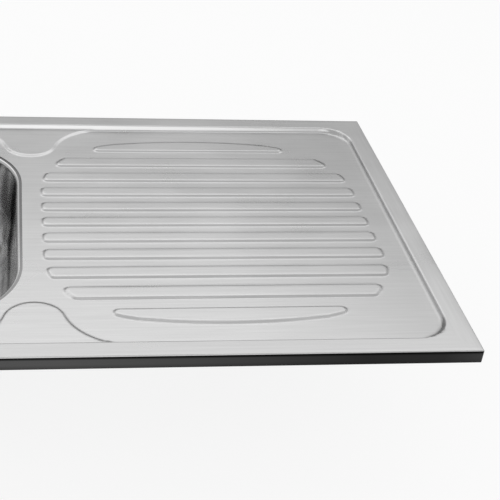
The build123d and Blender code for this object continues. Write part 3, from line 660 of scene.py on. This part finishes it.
# --- the fittings ----------------------------------------------------------------------
def make_nut(name, node, centre, out, side):
    """A gripped union nut. out points out of the socket, and side is square to it."""
    out = Vector(out)
    side = Vector(side)
    third = out.cross(side)
    count = NUT_RIDGES * NUT_RIDGE_POINTS
    points = []
    for radius, height, grip in NUT_SECTION:
        for k in range(count):
            angle = 2 * math.pi * k / count
            ridge = max(0.0, math.cos(NUT_RIDGES * angle)) ** NUT_RIDGE_FULLNESS
            reach = radius + NUT_RIDGE * grip * ridge
            around = side * math.cos(angle) + third * math.sin(angle)
            points.append(Vector(centre) + out * height + around * reach)
    nut = mesh_object(name, points, ring_faces(len(NUT_SECTION), count, closed=True))
    turn_outward(nut)
    sharpen(nut, NUT_SHARP_ANGLE)
    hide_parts(node)
    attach(nut, "sink")
    return nut


def make_tail_thread():
    """The thread on the waste's tail, wound up from its foot and run out at both ends."""
    turns = (TAIL_THREAD_TOP - TAIL_FOOT) / THREAD_PITCH
    steps = round(turns * THREAD_STEPS)
    points = []
    for k in range(steps + 1):
        angle = 2 * math.pi * k / THREAD_STEPS
        middle = TAIL_FOOT + THREAD_PITCH * k / THREAD_STEPS
        depth = THREAD_DEPTH * min(1.0, k / THREAD_RUN_OUT, (steps - k) / THREAD_RUN_OUT)
        section = (
            (-THREAD_ROOT, -THREAD_ROOT_HALF),
            (depth, -THREAD_CREST_HALF),
            (depth, THREAD_CREST_HALF),
            (-THREAD_ROOT, THREAD_ROOT_HALF),
        )
        for reach, rise in section:
            radius = TAIL_RADIUS + reach
            x = BOWL_X + radius * math.cos(angle)
            points.append((x, radius * math.sin(angle), middle + rise))
    faces = [(0, 1, 2, 3), tuple(4 * steps + i for i in (3, 2, 1, 0))]
    for k in range(steps):
        for i in range(4):
            j = (i + 1) % 4
            faces.append((4 * k + i, 4 * k + j, 4 * k + 4 + j, 4 * k + 4 + i))
    thread = mesh_object("tail_thread", points, faces)
    turn_outward(thread)
    sharpen(thread, THREAD_SHARP_ANGLE)
    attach(thread, "sink")
    return thread


top_sheet = make_top()
bowl_shell = make_bowl()
top_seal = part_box("pipe_seal_top")
bottom_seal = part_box("pipe_seal_bottom")
top_mouth = (BOWL_X, (top_seal[0].y + top_seal[1].y) / 2 / MM, top_seal[1].z / MM)
bottom_mouth = (BOWL_X, bottom_seal[0].y / MM, (bottom_seal[0].z + bottom_seal[1].z) / 2 / MM)
top_nut = make_nut("top_union_nut", "pipe_nut_top", top_mouth, (0, 0, -1), (1, 0, 0))
bottom_nut = make_nut("bottom_union_nut", "pipe_nut_bottom", bottom_mouth, (0, 1, 0), (1, 0, 0))
tail_thread = make_tail_thread()

# --- material values -------------------------------------------------------------------
NOISE_LOW = 0.3
NOISE_HIGH = 0.7
FINISH_SPREAD = 0.15
GRAIN_SCALE = 60.0
GRAIN_DETAIL = 6.0
CLOUD_SCALE = 7.0
CLOUD_SHARE = 0.5
FINE_BUMP = 0.0002
STEEL_WARMTH = 0.985
DECK_TONE = 0.50
DECK_ROUGHNESS = 0.30
DECK_BRUSH = (0.16, 6, 6)
DECK_VARIATION = 0.045
DECK_RELIEF = 0.04
# Painted shade: the rim's colour is made darker by this share.
RIM_PAINTED_SHADE = 0.92
# Painted shade on the drainer's floor towards its far end, and painted light on the recess's end
# and back walls.
END_PAINTED_SHADE = 0.84
END_WALL_PAINTED_LIGHT = 1.12
BACK_WALL_PAINTED_LIGHT = 1.22
# The apron's painted reflection of dark surroundings: its grey level along the sink, and its share
# of that level up its height.
APRON_PAINTED_REFLECTION = ((0.0, 0.085), (0.35, 0.055), (0.72, 0.021), (0.9, 0.024), (1.0, 0.045))
APRON_PAINTED_REFLECTION_HEIGHT = ((0.0, 0.5), (0.35, 1.0), (0.72, 1.0), (0.84, 0.12))
BOWL_TONE = 0.6
# Painted reflection: the wall's colour runs to dark and light stripes around the steel's own tone.
BOWL_WALL_PAINTED_REFLECTION_TONES = ((0.4, 0.34), (0.5, BOWL_TONE), (0.58, 0.82))
BOWL_FLOOR_TONES = (0.52, 0.60)
BOWL_ROUGHNESS = 0.14
BOWL_ROUGHNESS_RANGE = (0.10, 0.20)
BOWL_REFLECTION_STREAK_SCALE = 70.0
BOWL_CLOUD_SCALE = 9.0
BOWL_CLOUD_SHARE = 0.45
LIP_TONE = 0.5
LIP_JOINT_TONE = 0.2
PLASTIC_GRAIN_SCALE = 400.0
PLASTIC_CLOUD_SCALE = 25.0
PLASTIC_SHADE = 0.94
PLASTIC_RELIEF = 0.12

# --- where one tone gives way to the next, as (from, to) in millimetres ------------------
MITRE = HALF_LENGTH - HALF_DEPTH
END_WALL_FOOT = RECESS_HALF_LENGTH - RECESS_RUN
BACK_WALL_FOOT = RECESS_HALF_DEPTH - RECESS_RUN
END_RIM_EDGE = (RECESS_HALF_LENGTH, RECESS_HALF_LENGTH + 1.0)
MITRE_EDGE = (MITRE, MITRE + 1.0)
RIM_EDGE = (RIM_TOP - 0.6, RIM_TOP - 0.1)
APRON_EDGE = (RIM_TOP - 1.1, RIM_TOP - 0.6)
APRON_END_EDGE = (HALF_LENGTH - 0.5, HALF_LENGTH - 0.2)
APRON_SIDE_EDGE = (HALF_DEPTH - 0.5, HALF_DEPTH - 0.2)
END_FLOOR_EDGE = (230.0, 450.0)
END_WALL_EDGE = (END_WALL_FOOT - 1.0, END_WALL_FOOT + 1.0)
BACK_WALL_EDGE = (BACK_WALL_FOOT, BACK_WALL_FOOT + 0.5)
BOWL_FLOOR_EDGE = (BOWL_FLOOR, BOWL_FLOOR + BOWL_FLOOR_RADIUS)
LIP_EDGE = (BOWL_TOP - 4.5, BOWL_TOP - 2.5)
LIP_JOINT_EDGE = (BOWL_TOP - 0.06, BOWL_TOP - 0.02)


# --- node tools ------------------------------------------------------------------------
def new_material(name, color, roughness, metallic=0.0):
    """A principled material with its node tree and shader."""
    material = bpy.data.materials.new(name)
    material.use_nodes = True
    tree = material.node_tree
    shader = tree.nodes["Principled BSDF"]
    shader.inputs["Base Color"].default_value = (*color, 1)
    shader.inputs["Roughness"].default_value = roughness
    shader.inputs["Metallic"].default_value = metallic
    return material, tree, shader


def feed(tree, value, socket):
    """Links an output to a socket, or sets the socket to a plain value."""
    if isinstance(value, bpy.types.NodeSocket):
        tree.links.new(value, socket)
    else:
        socket.default_value = value


def math_node(tree, operation, a, b=None):
    """The result of a math operation on one or two values."""
    node = tree.nodes.new("ShaderNodeMath")
    node.operation = operation
    feed(tree, a, node.inputs[0])
    if b is not None:
        feed(tree, b, node.inputs[1])
    return node.outputs[0]


def mixed(tree, share, a, b):
    """The number a where share is 0, b where it is 1."""
    node = tree.nodes.new("ShaderNodeMix")
    feed(tree, share, node.inputs["Factor"])
    feed(tree, a, node.inputs["A"])
    feed(tree, b, node.inputs["B"])
    return node.outputs["Result"]


def mixed_color(tree, share, a, b, blend="MIX"):
    """The color a where share is 0; where it is 1, b or what the blend makes of the two."""
    node = tree.nodes.new("ShaderNodeMix")
    node.data_type = "RGBA"
    node.blend_type = blend
    feed(tree, share, node.inputs["Factor"])
    feed(tree, a, node.inputs["A"])
    feed(tree, b, node.inputs["B"])
    return node.outputs["Result"]


def multiplied(tree, color, share, tone):
    """A colour multiplied by a tone where share is 1."""
    return mixed_color(tree, share, color, (tone, tone, tone, 1), "MULTIPLY")


def object_axes(tree):
    """X, Y and Z in object space, which is the CAD's frame in metres."""
    coords = tree.nodes.new("ShaderNodeTexCoord")
    split = tree.nodes.new("ShaderNodeSeparateXYZ")
    tree.links.new(coords.outputs["Object"], split.inputs["Vector"])
    return split.outputs["X"], split.outputs["Y"], split.outputs["Z"]


def noise(tree, scale, stretch=(1, 1, 1), detail=4.0):
    """A noise texture in object space, stretched along an axis for brushing."""
    coords = tree.nodes.new("ShaderNodeTexCoord")
    mapping = tree.nodes.new("ShaderNodeMapping")
    mapping.inputs["Scale"].default_value = stretch
    texture = tree.nodes.new("ShaderNodeTexNoise")
    texture.inputs["Scale"].default_value = scale
    texture.inputs["Detail"].default_value = detail
    tree.links.new(coords.outputs["Object"], mapping.inputs["Vector"])
    tree.links.new(mapping.outputs["Vector"], texture.inputs["Vector"])
    return texture.outputs["Fac"]


def spread(tree, value, low, high, low_out, high_out):
    """Maps a value from one range to another."""
    node = tree.nodes.new("ShaderNodeMapRange")
    node.inputs["From Min"].default_value = low
    node.inputs["From Max"].default_value = high
    node.inputs["To Min"].default_value = low_out
    node.inputs["To Max"].default_value = high_out
    tree.links.new(value, node.inputs["Value"])
    return node.outputs["Result"]


def step_up(tree, value, low, high):
    """0 up to low, 1 from high on, both in millimetres."""
    return spread(tree, value, low * MM, high * MM, 0.0, 1.0)


def step_down(tree, value, low, high):
    """1 up to low, 0 from high on, both in millimetres."""
    return spread(tree, value, low * MM, high * MM, 1.0, 0.0)


def varied(tree, value, low, high):
    """Maps the middle of a noise's range to between low and high."""
    return spread(tree, value, NOISE_LOW, NOISE_HIGH, low, high)


def color_ramp(tree, value, stops):
    """A colour that follows value through (position, colour) stops."""
    ramp = tree.nodes.new("ShaderNodeValToRGB")
    elements = ramp.color_ramp.elements
    for element, (position, color) in zip(elements, (stops[0], stops[-1])):
        element.position = position
        element.color = (*color, 1)
    for position, color in stops[1:-1]:
        elements.new(position).color = (*color, 1)
    tree.links.new(value, ramp.inputs["Fac"])
    return ramp.outputs["Color"]


def level_ramp(tree, value, stops):
    """A grey level that follows value through (position, level) stops."""
    return color_ramp(tree, value, [(position, (level,) * 3) for position, level in stops])


def tint(tree, shader, value, dark, light):
    """Varies the base colour between two tones with a noise."""
    color = color_ramp(tree, value, ((NOISE_LOW, dark), (NOISE_HIGH, light)))
    tree.links.new(color, shader.inputs["Base Color"])
    return color


def vary_roughness(tree, shader, value, roughness):
    """Varies the roughness a little either way with a noise."""
    finish = varied(tree, value, roughness * (1 - FINISH_SPREAD), roughness * (1 + FINISH_SPREAD))
    tree.links.new(finish, shader.inputs["Roughness"])


def bump(tree, shader, height, strength):
    """Adds a fine relief to a shader."""
    node = tree.nodes.new("ShaderNodeBump")
    node.inputs["Strength"].default_value = strength
    node.inputs["Distance"].default_value = FINE_BUMP
    tree.links.new(height, node.inputs["Height"])
    tree.links.new(node.outputs["Normal"], shader.inputs["Normal"])


# --- materials -------------------------------------------------------------------------
def end_rim_mask(tree):
    """1 on the rims at the two ends, as far as the mitre lines at the corners."""
    x, y, _ = object_axes(tree)
    x = math_node(tree, "ABSOLUTE", x)
    y = math_node(tree, "ABSOLUTE", y)
    beyond_wall = step_up(tree, x, *END_RIM_EDGE)
    beyond_mitre = step_up(tree, math_node(tree, "SUBTRACT", x, y), *MITRE_EDGE)
    return math_node(tree, "MULTIPLY", beyond_wall, beyond_mitre)


def apron_mask(tree):
    """1 on the outer skin of the folded apron, 0 on the rest of the top."""
    x, y, z = object_axes(tree)
    at_end = step_up(tree, math_node(tree, "ABSOLUTE", x), *APRON_END_EDGE)
    at_side = step_up(tree, math_node(tree, "ABSOLUTE", y), *APRON_SIDE_EDGE)
    outside = math_node(tree, "MAXIMUM", at_end, at_side)
    return math_node(tree, "MULTIPLY", outside, step_down(tree, z, *APRON_EDGE))


def steel(name, tone, roughness, brush, variation, relief, rims=False):
    """Stainless steel with fine grain along one axis and faint clouds, and its tree, shader
    and colour. With rims, the grain of the end rims runs along them."""
    base = (tone, tone, tone * STEEL_WARMTH)
    material, tree, shader = new_material(name, base, roughness, metallic=1.0)
    grain = noise(tree, GRAIN_SCALE, stretch=brush, detail=GRAIN_DETAIL)
    cloud = noise(tree, CLOUD_SCALE, stretch=(1, 1.6, 1), detail=3.0)
    if rims:
        turned = (brush[1], brush[0], brush[2])
        rim_grain = noise(tree, GRAIN_SCALE, stretch=turned, detail=GRAIN_DETAIL)
        grain = mixed(tree, end_rim_mask(tree), grain, rim_grain)
    pattern = mixed(tree, CLOUD_SHARE, grain, cloud)
    color = tint(tree, shader, pattern, (tone - variation,) * 3, (tone + variation,) * 3)
    vary_roughness(tree, shader, cloud, roughness)
    bump(tree, shader, grain, relief)
    return material, tree, shader, color


def deck_steel():
    """The top's brushed, half-matt steel, with painted shade and painted light in places, and a
    painted dark reflection on its high-polish apron.
    """
    material, tree, shader, deck_color = steel(
        "deck_steel", DECK_TONE, DECK_ROUGHNESS, DECK_BRUSH, DECK_VARIATION, DECK_RELIEF, rims=True
    )
    x, y, z = object_axes(tree)
    in_recess = step_down(tree, z, *RIM_EDGE)
    end_wall = step_up(tree, x, *END_WALL_EDGE)
    end_floor = math_node(tree, "SUBTRACT", step_up(tree, x, *END_FLOOR_EDGE), end_wall)
    back_wall = step_up(tree, y, *BACK_WALL_EDGE)
    # Painted shade: the whole rim above the recess is made darker.
    deck_color = multiplied(tree, deck_color, step_up(tree, z, *RIM_EDGE), RIM_PAINTED_SHADE)
    # Painted shade on the drainer's floor towards its far end; painted light on the recess's end
    # and back walls.
    painted_shade_and_light = ((end_floor, END_PAINTED_SHADE), (end_wall, END_WALL_PAINTED_LIGHT), (back_wall, BACK_WALL_PAINTED_LIGHT))
    for share, tone in painted_shade_and_light:
        deck_color = multiplied(tree, deck_color, math_node(tree, "MULTIPLY", share, in_recess), tone)
    # Painted reflection: the apron is painted dark grey, changing along the sink and up its
    # height.
    along = level_ramp(tree, step_up(tree, x, 0.0, HALF_LENGTH), APRON_PAINTED_REFLECTION)
    upward = level_ramp(tree, step_up(tree, z, 0.0, RIM_TOP), APRON_PAINTED_REFLECTION_HEIGHT)
    apron_painted_reflection = mixed_color(tree, 1.0, along, upward, "MULTIPLY")
    color = mixed_color(tree, apron_mask(tree), deck_color, apron_painted_reflection)
    tree.links.new(color, shader.inputs["Base Color"])
    return material


def bowl_steel():
    """The bowl's bright steel of high polish, with painted reflections as soft bands down its
    wall.
    """
    material, tree, shader = new_material(
        "bowl_steel", (BOWL_TONE,) * 3, BOWL_ROUGHNESS, metallic=1.0
    )
    reflection_streaks = noise(tree, BOWL_REFLECTION_STREAK_SCALE, stretch=(1, 1, 0.05), detail=2.0)
    clouds = noise(tree, BOWL_CLOUD_SCALE, stretch=(1, 1, 0.5), detail=3.0)
    brushed = noise(tree, GRAIN_SCALE, stretch=(0.3, 5, 1))
    # Painted reflection: soft dark and light stripes drawn into the wall's colour.
    wall = level_ramp(tree, mixed(tree, BOWL_CLOUD_SHARE, reflection_streaks, clouds), BOWL_WALL_PAINTED_REFLECTION_TONES)
    floor = varied(tree, brushed, *BOWL_FLOOR_TONES)
    _, _, z = object_axes(tree)
    lip = mixed(tree, step_up(tree, z, *LIP_JOINT_EDGE), LIP_TONE, LIP_JOINT_TONE)
    body = mixed_color(tree, step_down(tree, z, *BOWL_FLOOR_EDGE), wall, floor)
    color = mixed_color(tree, step_up(tree, z, *LIP_EDGE), body, lip)
    tree.links.new(color, shader.inputs["Base Color"])
    tree.links.new(varied(tree, clouds, *BOWL_ROUGHNESS_RANGE), shader.inputs["Roughness"])
    return material


def plastic(name, color, roughness):
    """Moulded plastic or rubber with a fine texture."""
    material, tree, shader = new_material(name, color, roughness)
    grain = noise(tree, PLASTIC_GRAIN_SCALE)
    vary_roughness(tree, shader, grain, roughness)
    dark = tuple(c * PLASTIC_SHADE for c in color)
    tint(tree, shader, noise(tree, PLASTIC_CLOUD_SCALE), dark, color)
    bump(tree, shader, grain, PLASTIC_RELIEF)
    return material


def polished_steel():
    """The bright steel of the waste's and the overflow's fittings."""
    material, *_ = steel(
        "polished_steel", tone=0.6, roughness=0.12, brush=(3, 3, 3), variation=0.03, relief=0.01
    )
    return material


def zinc_steel():
    """The duller zinc-plated steel under the top."""
    material, *_ = steel(
        "zinc_steel", tone=0.50, roughness=0.32, brush=(4, 4, 4), variation=0.05, relief=0.05
    )
    return material


SLOT_MATERIALS = {
    "deck_steel": deck_steel(),
    "bowl_steel": bowl_steel(),
    "polished_steel": polished_steel(),
    "zinc_steel": zinc_steel(),
    "seal_rubber": plastic("seal_rubber", color=(0.03, 0.03, 0.032), roughness=0.6),
    "damping": plastic("damping_pad", color=(0.06, 0.06, 0.063), roughness=0.8),
    "waste_plastic": plastic("waste_plastic", color=(0.80, 0.80, 0.78), roughness=0.38),
    "nut_plastic": plastic("nut_plastic", color=(0.62, 0.63, 0.63), roughness=0.4),
}


def dress(obj, slot):
    """Gives an object the one material of a slot."""
    obj.data.materials.clear()
    obj.data.materials.append(SLOT_MATERIALS[slot])


for part in frame["record"]["subparts"]:
    dress(frame["nodes"][part["node"]], part["material_slot"])
dress(top_sheet, "deck_steel")
dress(bowl_shell, "bowl_steel")
dress(top_nut, "nut_plastic")
dress(bottom_nut, "nut_plastic")
dress(tail_thread, "waste_plastic")

# --- floor, lights and camera ----------------------------------------------------------
FLOOR_Z = cad_box[0].z
FLOOR_GAP = 0.0005
FLOOR_SIZE = 60
FLOOR_TONE = 0.9
FLOOR_GLOW = 0.85
ROOM_LEVELS = ((0.0, 0.4), (0.4, 0.5), (0.6, 0.66), (1.0, 0.7))
FLAG_HEIGHT = 0.75
FLAG_TONE = 0.1
FLAG_VARIATION = 0.2
FLAG_CLOUD_SCALE = 2.0
PHOTO_SIDE = 500.0
FOCAL_PIXELS = 1129.5
SENSOR_WIDTH = 36.0
CAMERA_PLACE = (-0.0476, -1.2979, 0.8127)
CAMERA_PITCH = 32.81
CAMERA_YAW = 9.22
CAMERA_ROLL = 4.90
CAMERA_SHIFT = 0.16


def seen_rays(tree, share):
    """share for camera, glossy and transmission rays, which see the white room, else 0."""
    path = tree.nodes.new("ShaderNodeLightPath")
    seen = path.outputs["Is Camera Ray"]
    for kind in ("Is Glossy Ray", "Is Transmission Ray"):
        seen = math_node(tree, "MAXIMUM", seen, path.outputs[kind])
    return math_node(tree, "MULTIPLY", seen, share)


def shade_by_ray(tree, share, plain, white, output):
    """Leads a plain and a white shader to the output, the white one by share for seen rays."""
    mix = tree.nodes.new("ShaderNodeMixShader")
    tree.links.new(seen_rays(tree, share), mix.inputs["Fac"])
    tree.links.new(plain.outputs[0], mix.inputs[1])
    tree.links.new(white.outputs[0], mix.inputs[2])
    tree.links.new(mix.outputs["Shader"], output.inputs["Surface"])


def make_floor():
    """A pale floor that shows as white and keeps the object's soft shadow."""
    bpy.ops.mesh.primitive_plane_add(size=FLOOR_SIZE, location=(0, 0, FLOOR_Z - FLOOR_GAP))
    floor = bpy.context.object
    floor.name = "floor"
    material = bpy.data.materials.new("floor")
    material.use_nodes = True
    tree = material.node_tree
    tree.nodes.clear()
    out = tree.nodes.new("ShaderNodeOutputMaterial")
    diffuse = tree.nodes.new("ShaderNodeBsdfDiffuse")
    glow = tree.nodes.new("ShaderNodeEmission")
    diffuse.inputs["Color"].default_value = (FLOOR_TONE, FLOOR_TONE, FLOOR_TONE, 1)
    glow.inputs["Strength"].default_value = 1.0
    shade_by_ray(tree, FLOOR_GLOW, diffuse, glow, out)
    floor.data.materials.append(material)


def make_world():
    """A white room. Its light on the object falls off gently towards the floor."""
    world = bpy.data.worlds.new("studio")
    bpy.context.scene.world = world
    world.use_nodes = True
    tree = world.node_tree
    tree.nodes.clear()
    out = tree.nodes.new("ShaderNodeOutputWorld")
    room = tree.nodes.new("ShaderNodeBackground")
    white = tree.nodes.new("ShaderNodeBackground")
    coords = tree.nodes.new("ShaderNodeTexCoord")
    split = tree.nodes.new("ShaderNodeSeparateXYZ")
    tree.links.new(coords.outputs["Generated"], split.inputs["Vector"])
    height = spread(tree, split.outputs["Z"], -1.0, 1.0, 0.0, 1.0)
    tree.links.new(level_ramp(tree, height, ROOM_LEVELS), room.inputs["Color"])
    white.inputs["Strength"].default_value = 1.0
    shade_by_ray(tree, 1.0, room, white, out)


def make_lamp(name, place, target, width, height, power):
    """A soft panel lamp aimed at a point."""
    data = bpy.data.lights.new(name, "AREA")
    data.shape = "RECTANGLE"
    data.size = width
    data.size_y = height
    data.energy = power
    lamp = bpy.data.objects.new(name, data)
    lamp.location = place
    aim = Vector(target) - Vector(place)
    lamp.rotation_euler = aim.to_track_quat("-Z", "Y").to_euler()
    lamp.visible_camera = False
    bpy.context.scene.collection.objects.link(lamp)


def make_flag(name, start, end):
    """A dark upright card between two places on the floor, which only reflections show."""
    top = FLOOR_Z + FLAG_HEIGHT
    points = [(*start, FLOOR_Z), (*end, FLOOR_Z), (*end, top), (*start, top)]
    mesh = bpy.data.meshes.new(name)
    mesh.from_pydata(points, [], [(0, 1, 2, 3)])
    flag = bpy.data.objects.new(name, mesh)
    bpy.context.scene.collection.objects.link(flag)
    material, tree, shader = new_material(name, (FLAG_TONE,) * 3, 1.0)
    dark = FLAG_TONE * (1 - FLAG_VARIATION)
    light = FLAG_TONE * (1 + FLAG_VARIATION)
    tint(tree, shader, noise(tree, FLAG_CLOUD_SCALE), (dark,) * 3, (light,) * 3)
    flag.data.materials.append(material)
    flag.visible_camera = False
    flag.visible_diffuse = False
    flag.visible_shadow = False


def make_camera():
    """The camera at the photograph's place, turned by yaw, pitch and roll."""
    data = bpy.data.cameras.new("camera")
    data.sensor_width = SENSOR_WIDTH
    data.lens = FOCAL_PIXELS / PHOTO_SIDE * SENSOR_WIDTH
    data.shift_x = CAMERA_SHIFT
    camera = bpy.data.objects.new("camera", data)
    bpy.context.scene.collection.objects.link(camera)
    pitch = math.radians(CAMERA_PITCH)
    yaw = math.radians(CAMERA_YAW)
    roll = math.radians(CAMERA_ROLL)
    flat = math.cos(pitch)
    forward = Vector((math.sin(yaw) * flat, math.cos(yaw) * flat, -math.sin(pitch)))
    level = Vector((math.cos(yaw), -math.sin(yaw), 0))
    upward = level.cross(forward)
    right = math.cos(roll) * level + math.sin(roll) * upward
    up = -math.sin(roll) * level + math.cos(roll) * upward
    turn = Matrix((right, up, -forward)).transposed()
    camera.matrix_world = Matrix.Translation(CAMERA_PLACE) @ turn.to_4x4()
    bpy.context.scene.camera = camera


make_floor()
make_world()
make_lamp(
    "top_panel", place=(0.4, 1.55, 1.95), target=(0.1, 0, 0), width=3.6, height=1.5, power=13.5
)
make_lamp(
    "front_panel", place=(-0.4, -2.4, 1.75), target=(0, 0, 0), width=3.2, height=2.8, power=22
)
make_flag("back_flag", start=(-2.5, 2.2), end=(2.5, 2.2))
make_flag("left_flag", start=(-2.6, -1.6), end=(-2.6, 2.1))
make_flag("right_flag", start=(2.6, -1.6), end=(2.6, 2.1))
make_camera()
bpy.context.scene.view_settings.view_transform = "Standard"
